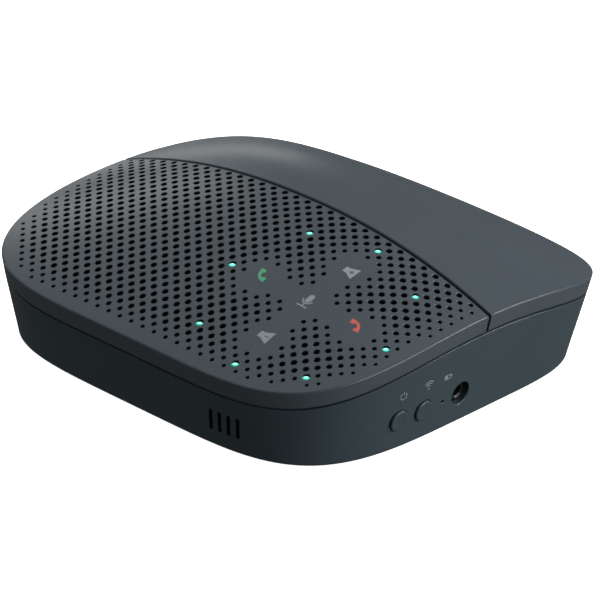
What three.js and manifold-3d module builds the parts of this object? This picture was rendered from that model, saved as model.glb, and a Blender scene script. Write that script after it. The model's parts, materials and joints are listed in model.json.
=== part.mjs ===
// Conference speakerphone, in millimetres. +X is the user's right, +Y the rear, +Z up.
// The origin is the centre of the plan, on the surface that the rubber feet stand on.
import * as THREE from "three";
import { mergeVertices } from "three/addons/utils/BufferGeometryUtils.js";
import Module from "manifold-3d";

const wasm = await Module();
wasm.setup();

// ---- Driving dimensions ----

// The plan is two half superellipses that meet at the widest line.
const HALF_WIDTH = 77.9;
const FRONT_DEPTH = 88.5;
const REAR_DEPTH = 63;
const PLAN_POWER = 4.5;
const WIDEST_Y = (FRONT_DEPTH - REAR_DEPTH) / 2;
const PLAN_STEPS = 60;
const CORNER_CROWDING = 0.4;

// The crowned top: an arched spine along the middle, and a lower arch along both sides.
const PEAK_Z = 51.6;
const FRONT_FALL = 24.5;
const FRONT_BEND = 0.4;
const REAR_FALL = 22.2;
const REAR_BEND = 0.85;
const SIDE_PEAK_Z = 37.25;
const SIDE_PEAK_Y = 2.7;
const SIDE_FRONT_FALL = 15.5;
const SIDE_REAR_FALL = 8.8;
const SIDE_CURVE = 2.2;
const CROWN_RINGS = [1, 0.92, 0.8, 0.64, 0.45, 0.24];

// Upper casings: a bevelled skirt under the rim, and the straight gap between grille and cover.
const SKIRT_HEIGHT = 5.7;
const SKIRT_INSET = 0.9;
const SKIRT_WALL = 2.0;
const TOP_WALL = 2.2;
const SEAM = 0.7;
const GAP_Y = 2;
const GAP = 1.2;

// Lower casing.
const BASE_Z = 1.0;
const FLOOR = 2.0;
const FLOOR_TOP = BASE_Z + FLOOR;
const BASE_WALL = 2.2;
const BASE_TAPER = 3.9;
const FOOT_EDGE = 1.9;
const EDGE_STEPS = 3;

// Clearance kept between two pieces that touch.
const CLEAR = 0.3;

// The grille's holes stand on every other place of a square grid, centred on the light ring.
const GRID = 2.404;
const RING_X = 38.2;
const RING_Y = -36.4;
const LIGHT_PLACES = [[13, 0], [9, 10], [0, 13], [-9, 10], [-13, 0], [-9, -10], [0, -13], [9, -10]];
const LIGHT_RADIUS = 0.8;

// Touch board, tilted to follow the crown above it.
const TOUCH_BOARD_RADIUS = 33;
const TOUCH_BOARD_Z = 31.3;
const TOUCH_SLOPE_X = -0.085;
const TOUCH_SLOPE_Y = 0.295;
const BOARD = 1.2;

// Loudspeaker.
const SPEAKER_X = -31;
const SPEAKER_Y = -33;
const BAFFLE_Z = 20.5;
const BAFFLE = 2;
const BAFFLE_EDGE = 6.5;
const BAFFLE_RIGHT = 1.5;
const BAFFLE_POSTS = [[-60, -50], [-60, -12], [-4, -61]];
const BAFFLE_POST_RADIUS = 3;
const FLANGE_RADIUS = 31;
const FLANGE_THICKNESS = 1.4;
const GASKET = 0.8;
const DRIVER_HOLE_RADIUS = 29;
const BASKET_RADIUS = DRIVER_HOLE_RADIUS - 1;
const BASKET_WALL = 1.2;
const BASKET_BACK_Z = 12.8;
const BASKET_BACK_RADIUS = 18;
const BASKET_BORE_RADIUS = 5.5;
const MAGNET_RADIUS = 17.5;
const CONE_RADIUS = 21.6;
const CONE_RIM_Z = 23.4;
const CONE_NECK_RADIUS = 8.2;
const CONE_NECK_Z = 15.8;
const CONE_THICKNESS = 0.7;
const COIL_OUTER = 7.4;
const COIL_INNER = 6.6;
const COIL_LOW_Z = CONE_NECK_Z - 0.2;
const COIL_HIGH_Z = CONE_NECK_Z + 1.4;
const CAP_UNDER = [[0, 4.4], [4, 3.8], [7.8, 1.9]];
const CAP_OVER = [[7.8, 2.5], [4.1, 4.5], [0, 5.1]];
const SURROUND_THICKNESS = 0.6;
const SURROUND_STEPS = 4;

// Right wall: two buttons, a status light and the headset socket, by their place along Y.
const CONTROL_Z = 12.1;
const POWER_Y = -32.8;
const PAIRING_Y = -22.3;
const STATUS_Y = -13.5;
const HEADSET_Y = -5.1;
const BUTTON_RADIUS = 3.5;
const BUTTON_PROUD = 0.7;
const STATUS_RADIUS = 0.6;
const STATUS_DEPTH = 6;
const STATUS_SUNK = 0.2;
const HEADSET_RECESS_RADIUS = 4.0;
const HEADSET_COLLAR_RADIUS = 2.9;
const HEADSET_COLLAR_FACE = -1.3;
const HEADSET_BODY_RADIUS = 5;
const HEADSET_BODY_FACE = -BASE_WALL - CLEAR;
const HEADSET_BODY_BACK = -9.6;
const HEADSET_BORE_RADIUS = 1.8;
const WALL_HOLE_DEPTH = -8;
const WALL_HOLE_END = 5;

// Behind each button, counted outward from the wall: its flange and stem, then the switch's plunger.
const WALL_INSIDE = -BASE_WALL - 0.5;
const FLANGE = 0.8;
const BUTTON_FLANGE_RADIUS = BUTTON_RADIUS + 1;
const STEM_RADIUS = 1.5;
const STEM_END = WALL_INSIDE - FLANGE - 0.6;
const PLUNGER_RADIUS = 1.2;
const PLUNGER_TOP = STEM_END - 0.25;
const SWITCH_RADIUS = 3;
const SWITCH_TOP = PLUNGER_TOP - 0.9;
const SWITCH_BACK = SWITCH_TOP - 3;
const PLUNGER_END = SWITCH_BACK + 1;
const SWITCH_BORE_END = SWITCH_BACK + 0.3;

// The upright board that the switches and the headset socket stand on.
const SIDE_BOARD_X = 63.8;
const SIDE_BOARD_FRONT = -40;
const SIDE_BOARD_REAR = 2;
const SIDE_BOARD_LOW = 5;
const SIDE_BOARD_HIGH = 19;

// Front wall: the microphone's slots.
const SLOT_X = 33.5;
const SLOT_PITCH = 3.26;
const SLOT_COUNT = 4;
const SLOT_WIDTH = 1.3;
const SLOT_LOW = 6.7;
const SLOT_HIGH = 14.6;

// The microphone, in a boot behind the middle of its slots.
const MIC_X = SLOT_X + (SLOT_PITCH * (SLOT_COUNT - 1)) / 2;
const MIC_Z = (SLOT_LOW + SLOT_HIGH) / 2;
const MIC_FRONT = -66;
const MIC_RADIUS = 3;
const MIC_DEPTH = 2.2;
const BOOT_RADIUS = 4.8;
const BOOT_BACK = MIC_FRONT + 5;
const BOOT_FLOOR = 1.2;

// Rear wall: the charging socket and the board below it.
const CHARGE_X = 32;
const CHARGE_Z = 7.6;
const CHARGE_WIDTH = 8;
const CHARGE_HEIGHT = 3.4;
const CHARGE_FRONT = 64;
const CHARGE_BACK = 70;
const CHARGE_WALL = 0.5;
const CHARGE_FLOOR = 1;
const TONGUE_HALF_WIDTH = 2.6;
const TONGUE_HALF_HEIGHT = 0.35;
const REAR_BOARD_HALF_WIDTH = 10;
const REAR_BOARD_FRONT = 56;
const REAR_BOARD_BACK = 66;

// Main board with its blocks, each as two corners in the plan and a height, and the battery pack.
const MAIN_BOARD = [[8, -54], [58, -4]];
const MAIN_BOARD_Z = 8;
const CHIPS = [
  [[18, -44], [30, -32], 1.4],
  [[36, -28], [44, -20], 1.2],
  [[14, -22], [22, -12], 2.6],
  [[40, -50], [54, -42], 2.2],
];
const CHIP_SUNK = 0.2;
const BATTERY = [[-40, 15], [22, 55]];
const BATTERY_LOW = FLOOR_TOP + 1;
const BATTERY_HIGH = BATTERY_LOW + 10.5;

// Slot tray, with the rails that the rear cover slides back on.
const TRAY_TOP = 28;
const TRAY = 2;
const TRAY_HALF_WIDTH = 70;
const TRAY_BACK = 56;
const APRON_HALF_WIDTH = 68;
const APRON_DEPTH = 6;
const RAIL_X = 45;
const RAIL_FRONT = 17;
const RAIL_BACK = 54;
const RAIL_WIDTH = 4;
const RAIL_HEIGHT = 3;
const RUNNER_SIDE = 2.2;
const RUNNER_FRONT = 18;
const RUNNER_BACK = 41;
const PAD = [[-60, 5], [60, 15]];
const PAD_THICKNESS = 1;

// The cover's front wall stops above the tray, so that the cover can slide back over it.
const COVER_WALL_LOW = TRAY_TOP + 2;

// Legs of the tray, on the bosses of the base, with a screw up each.
const LEGS = [[-66, 10], [66, 10], [-60, 46], [60, 46]];
const LEG_RADIUS = 4;
const BOSS_TOP = 6;
const SCREW_HEAD_Z = 1.9;
const SCREW_HEAD = 1.5;
const SCREW_HEAD_RADIUS = 2.5;
const SCREW_RADIUS = 1.1;
const SCREW_TOP = 12;

const FEET = [[-54, -50], [54, -50], [-54, 54], [54, 54]];
const FOOT_RADIUS = 5;
const FOOT_TOP = 1.8;
const FOOT_CHAMFER = 0.5;

const CLOTH = 0.6;

// Longer than any piece, for the blocks that only cut.
const FAR = 100;

// ---- Materials ----

const finish = (color, roughness, metalness = 0) =>
  new THREE.MeshStandardMaterial({ color, roughness, metalness });

const casingPlastic = finish(0x4a5356, 0.48);
const basePlastic = finish(0x3a4348, 0.5);
const innerPlastic = finish(0x22272a, 0.6);
const blackCloth = finish(0x101213, 0.95);
const rubber = finish(0x17191a, 0.85);
const clearGuide = finish(0x7fe8d0, 0.25);
const board = finish(0x1d5a3c, 0.55);
const blackPart = finish(0x151718, 0.45);
const steel = finish(0xa9adb0, 0.32, 0.9);
const magnetGrey = finish(0x4b4d50, 0.4, 0.6);
const paperCone = finish(0x1b1c1d, 0.8);
const copper = finish(0xb5713c, 0.35, 0.8);
const cellWrap = finish(0x2f6f9e, 0.4);

const speakerphone = new THREE.Group();

function addPiece(name, geometry, material) {
  const mesh = new THREE.Mesh(geometry, material);
  mesh.name = name;
  speakerphone.add(mesh);
  return mesh;
}

// ---- Solids: cut and joined with manifold-3d ----

function solidOf(geometry) {
  const bare = geometry.clone();
  bare.deleteAttribute("normal");
  bare.deleteAttribute("uv");
  const merged = mergeVertices(bare, 1e-4);
  return new wasm.Manifold(
    new wasm.Mesh({
      numProp: 3,
      vertProperties: merged.attributes.position.array,
      triVerts: new Uint32Array(merged.index.array),
    }),
  );
}

function geometryOf(solid) {
  const mesh = solid.getMesh();
  const geometry = new THREE.BufferGeometry();
  geometry.setAttribute("position", new THREE.BufferAttribute(mesh.vertProperties, 3));
  geometry.setIndex(new THREE.BufferAttribute(mesh.triVerts, 1));
  geometry.computeVertexNormals();
  return geometry;
}

const join = (...geometries) => geometries.map(solidOf).reduce((all, next) => all.add(next));

const cut = (solid, ...geometries) =>
  geometries.map(solidOf).reduce((left, next) => left.subtract(next), solid);

// A box from its two corners.
function block([x0, y0, z0], [x1, y1, z1]) {
  const box = new THREE.BoxGeometry(x1 - x0, y1 - y0, z1 - z0);
  return box.translate((x0 + x1) / 2, (y0 + y1) / 2, (z0 + z1) / 2);
}

// A round bar between two points.
function bar(from, to, radius, sides = 24) {
  const start = new THREE.Vector3(...from);
  const along = new THREE.Vector3(...to).sub(start);
  const geometry = new THREE.CylinderGeometry(radius, radius, along.length(), sides);
  const turn = new THREE.Quaternion().setFromUnitVectors(
    new THREE.Vector3(0, 1, 0),
    along.clone().normalize(),
  );
  const centre = start.addScaledVector(along, 0.5);
  return geometry.applyQuaternion(turn).translate(centre.x, centre.y, centre.z);
}

// An upright bar at a place in the plan.
const post = (x, y, z0, z1, radius, sides) => bar([x, y, z0], [x, y, z1], radius, sides);

// A turned piece about an upright axis, from its (radius, height) profile.
function turned(profile, x, y, sides = 24) {
  const points = profile.map(([radius, z]) => new THREE.Vector2(radius, z));
  return new THREE.LatheGeometry(points, sides).rotateX(Math.PI / 2).translate(x, y, 0);
}

// A closed ring profile for turned(), given outer and inner radius and two heights.
const ringProfile = (outer, inner, z0, z1) => [
  [outer, z0],
  [outer, z1],
  [inner, z1],
  [inner, z0],
  [outer, z0],
];

const middleOf = (points) =>
  points.reduce((sum, p) => sum.add(p), new THREE.Vector3()).divideScalar(points.length);

// A closed skin over a stack of rings, with a fan under the first and over the last.
function loft(rings, apex = middleOf(rings.at(-1))) {
  const count = rings[0].length;
  const points = [...rings.flat(), middleOf(rings[0]), apex];
  const faces = [];
  const last = (rings.length - 1) * count;
  for (let i = 0; i < count; i++) {
    const j = (i + 1) % count;
    faces.push(points.length - 2, j, i);
    faces.push(points.length - 1, last + i, last + j);
    for (let low = 0; low < last; low += count) {
      const high = low + count;
      faces.push(low + i, low + j, high + j);
      faces.push(low + i, high + j, high + i);
    }
  }
  const geometry = new THREE.BufferGeometry().setFromPoints(points);
  geometry.setIndex(faces);
  geometry.computeVertexNormals();
  return geometry;
}

// ---- The casing's surfaces ----

// Directions round the plan, symmetric about both axes and closer together at the corners.
const PLAN_ANGLES = Array.from({ length: PLAN_STEPS }, (_, i) => {
  const even = (i * 2 * Math.PI) / PLAN_STEPS - Math.PI;
  const crowd = (value) => Math.sign(value) * Math.abs(value) ** CORNER_CROWDING;
  return (even + Math.atan2(crowd(Math.sin(even)), crowd(Math.cos(even)))) / 2;
});

// The plan's outline in one direction from the middle of the widest line, moved in by an inset.
function planPoint(angle, inset) {
  const depth = (Math.sin(angle) < 0 ? FRONT_DEPTH : REAR_DEPTH) - inset;
  const across = Math.abs(Math.cos(angle)) / (HALF_WIDTH - inset);
  const along = Math.abs(Math.sin(angle)) / depth;
  const radius = (across ** PLAN_POWER + along ** PLAN_POWER) ** (-1 / PLAN_POWER);
  return [radius * Math.cos(angle), WIDEST_Y + radius * Math.sin(angle)];
}

// A fall that starts level and turns straight: the bend is small for a tight turn. It ends at 1.
const fall = (way, bend) => (Math.hypot(1, way / bend) - 1) / (Math.hypot(1, 1 / bend) - 1);

const ahead = (y, from) => Math.max(0, from - y) / FRONT_DEPTH;
const behind = (y, from) => Math.max(0, y - from) / REAR_DEPTH;

const spineHeight = (y) =>
  PEAK_Z -
  FRONT_FALL * fall(ahead(y, WIDEST_Y), FRONT_BEND) -
  REAR_FALL * fall(behind(y, WIDEST_Y), REAR_BEND);

const sideHeight = (y) =>
  SIDE_PEAK_Z -
  SIDE_FRONT_FALL * ahead(y, SIDE_PEAK_Y) ** 2 -
  SIDE_REAR_FALL * behind(y, SIDE_PEAK_Y) ** 2;

function crown(x, y) {
  const outward = (Math.abs(x) / HALF_WIDTH) ** SIDE_CURVE;
  return spineHeight(y) * (1 - outward) + sideHeight(y) * outward;
}

const rimHeight = (angle) => crown(...planPoint(angle, 0));

// A ring of points at an inset, with a height for each direction.
const ring = (inset, height) =>
  PLAN_ANGLES.map((angle) => {
    const [x, y] = planPoint(angle, typeof inset === "function" ? inset(angle) : inset);
    return new THREE.Vector3(x, y, height(angle, x, y));
  });

// The inset of the base wall's outside at a height: it grows evenly from the skirt to the foot edge.
function baseInset(angle, z) {
  const high = rimHeight(angle) - SKIRT_HEIGHT;
  return SKIRT_INSET + (BASE_TAPER * (high - z)) / (high - BASE_Z - FOOT_EDGE);
}

// The crowned block that the upper casings are cut from: drop lowers its top and inset narrows it.
function crownBlock(inset, drop, skirtHeight) {
  const rings = [
    ring(inset + SKIRT_INSET, (angle) => rimHeight(angle) - skirtHeight),
    ...CROWN_RINGS.map((share) =>
      PLAN_ANGLES.map((angle) => {
        const [rimX, rimY] = planPoint(angle, inset);
        const x = share * rimX;
        const y = WIDEST_Y + share * (rimY - WIDEST_Y);
        return new THREE.Vector3(x, y, crown(x, y) - drop);
      }),
    ),
  ];
  return loft(rings, new THREE.Vector3(0, WIDEST_Y, PEAK_Z - drop));
}

// The place and outward direction of the base's right wall.
function rightWall(y, z) {
  let low = -Math.PI / 2;
  let high = Math.PI / 2;
  const yAt = (angle) => planPoint(angle, baseInset(angle, z))[1];
  for (let i = 0; i < 40; i++) {
    const middle = (low + high) / 2;
    if (yAt(middle) < y) low = middle;
    else high = middle;
  }
  const at = (angle, height) => {
    const [x, across] = planPoint(angle, baseInset(angle, height));
    return new THREE.Vector3(x, across, height);
  };
  const step = 0.01;
  const place = at(low, z);
  const along = at(low + step, z).sub(at(low - step, z));
  const up = at(low, z + 1).sub(at(low, z - 1));
  return { place, out: along.cross(up).normalize() };
}

// A round bar square to the right wall, from one depth to another, counted outward from the wall.
function wallBar(y, z, from, to, radius, sides) {
  const { place, out } = rightWall(y, z);
  const start = place.clone().addScaledVector(out, from);
  const end = place.clone().addScaledVector(out, to);
  return bar(start.toArray(), end.toArray(), radius, sides);
}

const GRILLE_BACK = GAP_Y - GAP / 2;
const COVER_FRONT = GAP_Y + GAP / 2;
const frontOf = (y) => block([-FAR, -FAR, -FAR], [FAR, y, FAR]);
const rearOf = (y) => block([-FAR, y, -FAR], [FAR, FAR, FAR]);

// ---- Casings ----

const lightX = (place) => RING_X + GRID * place[0];
const lightY = (place) => RING_Y + GRID * place[1];
const lightBars = (radius) =>
  LIGHT_PLACES.map((place) => post(lightX(place), lightY(place), 0, FAR, radius, 10));

const crownOuter = solidOf(crownBlock(0, 0, SKIRT_HEIGHT));
const crownInner = solidOf(crownBlock(SKIRT_WALL, TOP_WALL, 4 * SKIRT_HEIGHT));

function topGrille() {
  const outside = crownOuter.intersect(solidOf(frontOf(GRILLE_BACK)));
  const inside = crownInner.intersect(solidOf(frontOf(GRILLE_BACK - SKIRT_WALL)));
  return geometryOf(cut(outside.subtract(inside), ...lightBars(LIGHT_RADIUS + CLEAR)));
}

function grilleCloth() {
  const edge = SKIRT_WALL + CLEAR;
  const drop = TOP_WALL + CLEAR;
  const above = solidOf(crownBlock(edge, drop, drop));
  const below = solidOf(crownBlock(0, drop + CLOTH, FAR));
  const front = solidOf(frontOf(GRILLE_BACK - SKIRT_WALL - CLEAR));
  return geometryOf(cut(above.subtract(below).intersect(front), ...lightBars(LIGHT_RADIUS + CLEAR)));
}

function rearCover() {
  const outside = crownOuter.intersect(solidOf(rearOf(COVER_FRONT)));
  const inside = crownInner.intersect(solidOf(rearOf(COVER_FRONT + SKIRT_WALL)));
  const innerHalf = HALF_WIDTH - SKIRT_INSET - SKIRT_WALL - CLEAR;
  const passage = block(
    [-innerHalf, COVER_FRONT - 1, 0],
    [innerHalf, COVER_FRONT + SKIRT_WALL + 1, COVER_WALL_LOW],
  );
  return geometryOf(cut(outside.subtract(inside), passage));
}

// The base's tub: a rounded foot edge, the tapered wall, and the inside down to the floor.
function baseTub() {
  const top = (angle) => rimHeight(angle) - SKIRT_HEIGHT - SEAM;
  const rounded = Array.from({ length: EDGE_STEPS + 1 }, (_, i) => {
    const turn = (Math.PI / 2) * (1 - i / EDGE_STEPS);
    const z = BASE_Z + FOOT_EDGE * (1 - Math.sin(turn));
    const extra = FOOT_EDGE * (1 - Math.cos(turn));
    return ring((angle) => baseInset(angle, BASE_Z + FOOT_EDGE) + extra, () => z);
  });
  const inside = (z) => (angle) => baseInset(angle, z(angle)) + BASE_WALL;
  return loft([
    ...rounded,
    ring((angle) => baseInset(angle, top(angle)), top),
    ring(inside(top), top),
    ring(inside(() => FLOOR_TOP), () => FLOOR_TOP),
  ]);
}

function floorHoles() {
  const headTop = SCREW_HEAD_Z + SCREW_HEAD + CLEAR;
  return [
    ...LEGS.map(([x, y]) => post(x, y, 0, headTop, SCREW_HEAD_RADIUS + CLEAR, 16)),
    ...LEGS.map(([x, y]) => post(x, y, 0, FAR, SCREW_RADIUS + CLEAR, 12)),
    ...FEET.map(([x, y]) => post(x, y, 0, FOOT_TOP + CLEAR, FOOT_RADIUS + CLEAR)),
  ];
}

function wallHoles() {
  const hole = (y, radius, sides = 24) =>
    wallBar(y, CONTROL_Z, WALL_HOLE_DEPTH, WALL_HOLE_END, radius, sides);
  const slots = Array.from({ length: SLOT_COUNT }, (_, i) => {
    const x = SLOT_X + i * SLOT_PITCH;
    return block([x - SLOT_WIDTH / 2, -FAR, SLOT_LOW], [x + SLOT_WIDTH / 2, MIC_FRONT, SLOT_HIGH]);
  });
  const halfWidth = CHARGE_WIDTH / 2 + CLEAR;
  const halfHeight = CHARGE_HEIGHT / 2 + CLEAR;
  return [
    hole(POWER_Y, BUTTON_RADIUS + CLEAR),
    hole(PAIRING_Y, BUTTON_RADIUS + CLEAR),
    hole(HEADSET_Y, HEADSET_RECESS_RADIUS),
    hole(STATUS_Y, STATUS_RADIUS + CLEAR, 12),
    ...slots,
    block(
      [CHARGE_X - halfWidth, CHARGE_FRONT, CHARGE_Z - halfHeight],
      [CHARGE_X + halfWidth, FAR, CHARGE_Z + halfHeight],
    ),
  ];
}

function baseShell() {
  const bosses = LEGS.map(([x, y]) => post(x, y, BASE_Z + FLOOR / 2, BOSS_TOP, LEG_RADIUS));
  return geometryOf(cut(join(baseTub(), ...bosses), ...floorHoles(), ...wallHoles()));
}

// ---- Feet and screws ----

const corner = ([x, y]) => `${y < 0 ? "front" : "rear"}_${x < 0 ? "left" : "right"}`;

function addFeet() {
  for (const [x, y] of FEET) {
    const profile = [
      [0, 0],
      [FOOT_RADIUS - FOOT_CHAMFER, 0],
      [FOOT_RADIUS, FOOT_CHAMFER],
      [FOOT_RADIUS, FOOT_TOP],
      [0, FOOT_TOP],
    ];
    addPiece(`foot_${corner([x, y])}`, turned(profile, x, y, 24), rubber);
  }
}

function addScrews() {
  LEGS.forEach(([x, y], i) => {
    const shoulder = SCREW_HEAD_Z + SCREW_HEAD;
    const profile = [
      [0, SCREW_HEAD_Z],
      [SCREW_HEAD_RADIUS, SCREW_HEAD_Z],
      [SCREW_HEAD_RADIUS, shoulder],
      [SCREW_RADIUS, shoulder],
      [SCREW_RADIUS, SCREW_TOP],
      [0, SCREW_TOP],
    ];
    addPiece(`screw_${i + 1}`, turned(profile, x, y, 12), steel);
  });
}

// ---- Slot tray and the cover's slide ----

function slotTray() {
  const front = GRILLE_BACK + CLEAR;
  const plate = block(
    [-TRAY_HALF_WIDTH, front, TRAY_TOP - TRAY],
    [TRAY_HALF_WIDTH, TRAY_BACK, TRAY_TOP],
  );
  const apron = block(
    [-APRON_HALF_WIDTH, front, TRAY_TOP - APRON_DEPTH],
    [APRON_HALF_WIDTH, front + TRAY, TRAY_TOP - TRAY / 2],
  );
  const legs = LEGS.map(([x, y]) => post(x, y, BOSS_TOP + CLEAR, TRAY_TOP - TRAY / 2, LEG_RADIUS));
  const bores = LEGS.map(([x, y]) => post(x, y, 0, SCREW_TOP + 1, SCREW_RADIUS + CLEAR, 12));
  return geometryOf(cut(join(plate, apron, ...legs), ...bores));
}

function addSlide(name, x) {
  const railLow = TRAY_TOP + CLEAR;
  const railHigh = railLow + RAIL_HEIGHT;
  const half = RAIL_WIDTH / 2;
  const outerHalf = half + CLEAR + RUNNER_SIDE;
  addPiece(
    `stand_rail_${name}`,
    block([x - half, RAIL_FRONT, railLow], [x + half, RAIL_BACK, railHigh]),
    steel,
  );
  const underCover = solidOf(crownBlock(SKIRT_WALL + CLEAR, TOP_WALL + CLEAR, 4 * SKIRT_HEIGHT));
  const body = solidOf(
    block([x - outerHalf, RUNNER_FRONT, railLow + CLEAR], [x + outerHalf, RUNNER_BACK, FAR]),
  ).intersect(underCover);
  const channel = block(
    [x - half - CLEAR, 0, 0],
    [x + half + CLEAR, FAR, railHigh + CLEAR],
  );
  addPiece(`stand_runner_${name}`, geometryOf(cut(body, channel)), innerPlastic);
}

function slotPad() {
  const low = TRAY_TOP + CLEAR;
  return block([...PAD[0], low], [...PAD[1], low + PAD_THICKNESS]);
}

// ---- Loudspeaker ----

function speakerBaffle() {
  const wide = ring(BAFFLE_EDGE, () => BAFFLE_Z);
  const plate = loft([wide, wide.map((p) => p.clone().setZ(BAFFLE_Z + BAFFLE))]);
  const kept = block([-FAR, -FAR, 0], [BAFFLE_RIGHT, GRILLE_BACK - SKIRT_WALL - CLEAR, FAR]);
  const hole = post(SPEAKER_X, SPEAKER_Y, 0, FAR, DRIVER_HOLE_RADIUS, 32);
  const posts = BAFFLE_POSTS.map(([x, y]) =>
    post(x, y, FLOOR_TOP + CLEAR, BAFFLE_Z + BAFFLE / 2, BAFFLE_POST_RADIUS, 16),
  );
  const clipped = solidOf(plate).intersect(solidOf(kept));
  return geometryOf(cut(clipped.add(join(...posts)), hole));
}

// The basket's closed profile: flange, cup and back plate with its bore.
function basketProfile(seat, flangeLow) {
  const inner = BASKET_RADIUS - BASKET_WALL;
  const backTop = BASKET_BACK_Z + FLANGE_THICKNESS;
  return [
    [FLANGE_RADIUS, flangeLow],
    [FLANGE_RADIUS, flangeLow + FLANGE_THICKNESS],
    [inner, flangeLow + FLANGE_THICKNESS],
    [inner, seat],
    [BASKET_BACK_RADIUS - BASKET_WALL / 2, backTop],
    [BASKET_BORE_RADIUS, backTop],
    [BASKET_BORE_RADIUS, BASKET_BACK_Z],
    [BASKET_BACK_RADIUS, BASKET_BACK_Z],
    [BASKET_RADIUS, seat - BASKET_WALL / 2],
    [BASKET_RADIUS, flangeLow],
    [FLANGE_RADIUS, flangeLow],
  ];
}

const magnetProfile = [
  [0, FLOOR_TOP + CLEAR],
  [MAGNET_RADIUS, FLOOR_TOP + CLEAR],
  [MAGNET_RADIUS, BASKET_BACK_Z - CLEAR],
  [0, BASKET_BACK_Z - CLEAR],
];

const coneProfile = [
  [CONE_RADIUS, CONE_RIM_Z],
  [CONE_RADIUS, CONE_RIM_Z + CONE_THICKNESS],
  [CONE_NECK_RADIUS, CONE_NECK_Z + CONE_THICKNESS],
  [CONE_NECK_RADIUS, CONE_NECK_Z],
  [CONE_RADIUS, CONE_RIM_Z],
];

const capProfile = [...CAP_UNDER, ...CAP_OVER].map(([radius, z]) => [radius, CONE_NECK_Z + z]);

function addSpeaker() {
  const seat = BAFFLE_Z + BAFFLE;
  const gasketTop = seat + CLEAR + GASKET;
  const gasketProfile = ringProfile(FLANGE_RADIUS, DRIVER_HOLE_RADIUS, seat + CLEAR, gasketTop);
  const coilProfile = ringProfile(COIL_OUTER, COIL_INNER, COIL_LOW_Z, COIL_HIGH_Z);
  const add = (name, profile, material, sides) =>
    addPiece(name, turned(profile, SPEAKER_X, SPEAKER_Y, sides), material);
  add("speaker_gasket", gasketProfile, rubber);
  add("speaker_basket", basketProfile(seat, gasketTop + CLEAR), blackPart);
  add("speaker_magnet", magnetProfile, magnetGrey);
  add("voice_coil", coilProfile, copper, 16);
  add("speaker_cone", coneProfile, paperCone);
  add("dust_cap", capProfile, paperCone);
  add("speaker_surround", surroundProfile(BASKET_RADIUS - BASKET_WALL - CLEAR), rubber);
}

// Half a roll between the cone's edge and the basket, as one closed band.
function surroundProfile(outer) {
  const inner = CONE_RADIUS + CLEAR;
  const middle = (outer + inner) / 2;
  const half = (outer - inner) / 2;
  const arc = (radius) =>
    Array.from({ length: SURROUND_STEPS + 1 }, (_, i) => {
      const turn = (Math.PI * i) / SURROUND_STEPS;
      return [middle + radius * Math.cos(turn), CONE_RIM_Z + radius * Math.sin(turn)];
    });
  const band = [...arc(half), ...arc(half - SURROUND_THICKNESS).reverse()];
  return [...band, band[0]];
}

// ---- Boards, lights and battery ----

const touchBoardTop = (x, y) =>
  TOUCH_BOARD_Z + TOUCH_SLOPE_X * (x - RING_X) + TOUCH_SLOPE_Y * (y - RING_Y);

function touchBoard() {
  const rim = Array.from({ length: 32 }, (_, i) => {
    const angle = (i * 2 * Math.PI) / 32;
    const x = RING_X + TOUCH_BOARD_RADIUS * Math.cos(angle);
    const y = RING_Y + TOUCH_BOARD_RADIUS * Math.sin(angle);
    return new THREE.Vector3(x, y, touchBoardTop(x, y));
  });
  return loft([rim.map((p) => p.clone().setZ(p.z - BOARD)), rim]);
}

function addLightGuides() {
  LIGHT_PLACES.forEach((place, i) => {
    const x = lightX(place);
    const y = lightY(place);
    const low = touchBoardTop(x, y) + 2 * CLEAR;
    addPiece(`light_guide_${i + 1}`, post(x, y, low, crown(x, y) - 0.1, LIGHT_RADIUS, 10), clearGuide);
  });
}

function mainBoard() {
  const high = MAIN_BOARD_Z + BOARD;
  const plate = block([...MAIN_BOARD[0], MAIN_BOARD_Z], [...MAIN_BOARD[1], high]);
  const chips = CHIPS.map(([from, to, height]) =>
    block([...from, high - CHIP_SUNK], [...to, high + height]),
  );
  return geometryOf(join(plate, ...chips));
}

const batteryPack = () => block([...BATTERY[0], BATTERY_LOW], [...BATTERY[1], BATTERY_HIGH]);

// ---- Controls on the right wall ----

// A round button with a flange behind the wall, its switch, and the switch's plunger.
function addButton(name, y) {
  const round = (from, to, radius, sides) => wallBar(y, CONTROL_Z, from, to, radius, sides);
  const button = join(
    round(WALL_INSIDE - FLANGE / 2, BUTTON_PROUD, BUTTON_RADIUS, 24),
    round(WALL_INSIDE - FLANGE, WALL_INSIDE, BUTTON_FLANGE_RADIUS, 24),
    round(STEM_END, WALL_INSIDE - FLANGE / 2, STEM_RADIUS, 12),
  );
  addPiece(`${name}_button`, geometryOf(button), basePlastic);
  addPiece(`${name}_plunger`, round(PLUNGER_END, PLUNGER_TOP, PLUNGER_RADIUS, 12), steel);
  const can = solidOf(round(SWITCH_BACK, SWITCH_TOP, SWITCH_RADIUS, 8));
  const bore = round(SWITCH_BORE_END, 0, PLUNGER_RADIUS + CLEAR, 12);
  addPiece(`${name}_switch`, geometryOf(cut(can, bore)), blackPart);
}

const sideBoard = () =>
  block(
    [SIDE_BOARD_X - BOARD, SIDE_BOARD_FRONT, SIDE_BOARD_LOW],
    [SIDE_BOARD_X, SIDE_BOARD_REAR, SIDE_BOARD_HIGH],
  );

function headsetSocket() {
  const round = (from, to, radius, sides) => wallBar(HEADSET_Y, CONTROL_Z, from, to, radius, sides);
  const collar = round(HEADSET_BODY_FACE - 1, HEADSET_COLLAR_FACE, HEADSET_COLLAR_RADIUS, 24);
  const body = round(HEADSET_BODY_BACK, HEADSET_BODY_FACE, HEADSET_BODY_RADIUS, 24);
  const bore = round(HEADSET_BODY_BACK + 1, 1, HEADSET_BORE_RADIUS, 20);
  return geometryOf(cut(join(collar, body), bore));
}

const statusLightGuide = () =>
  wallBar(STATUS_Y, CONTROL_Z, -STATUS_DEPTH, -STATUS_SUNK, STATUS_RADIUS, 12);

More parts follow.
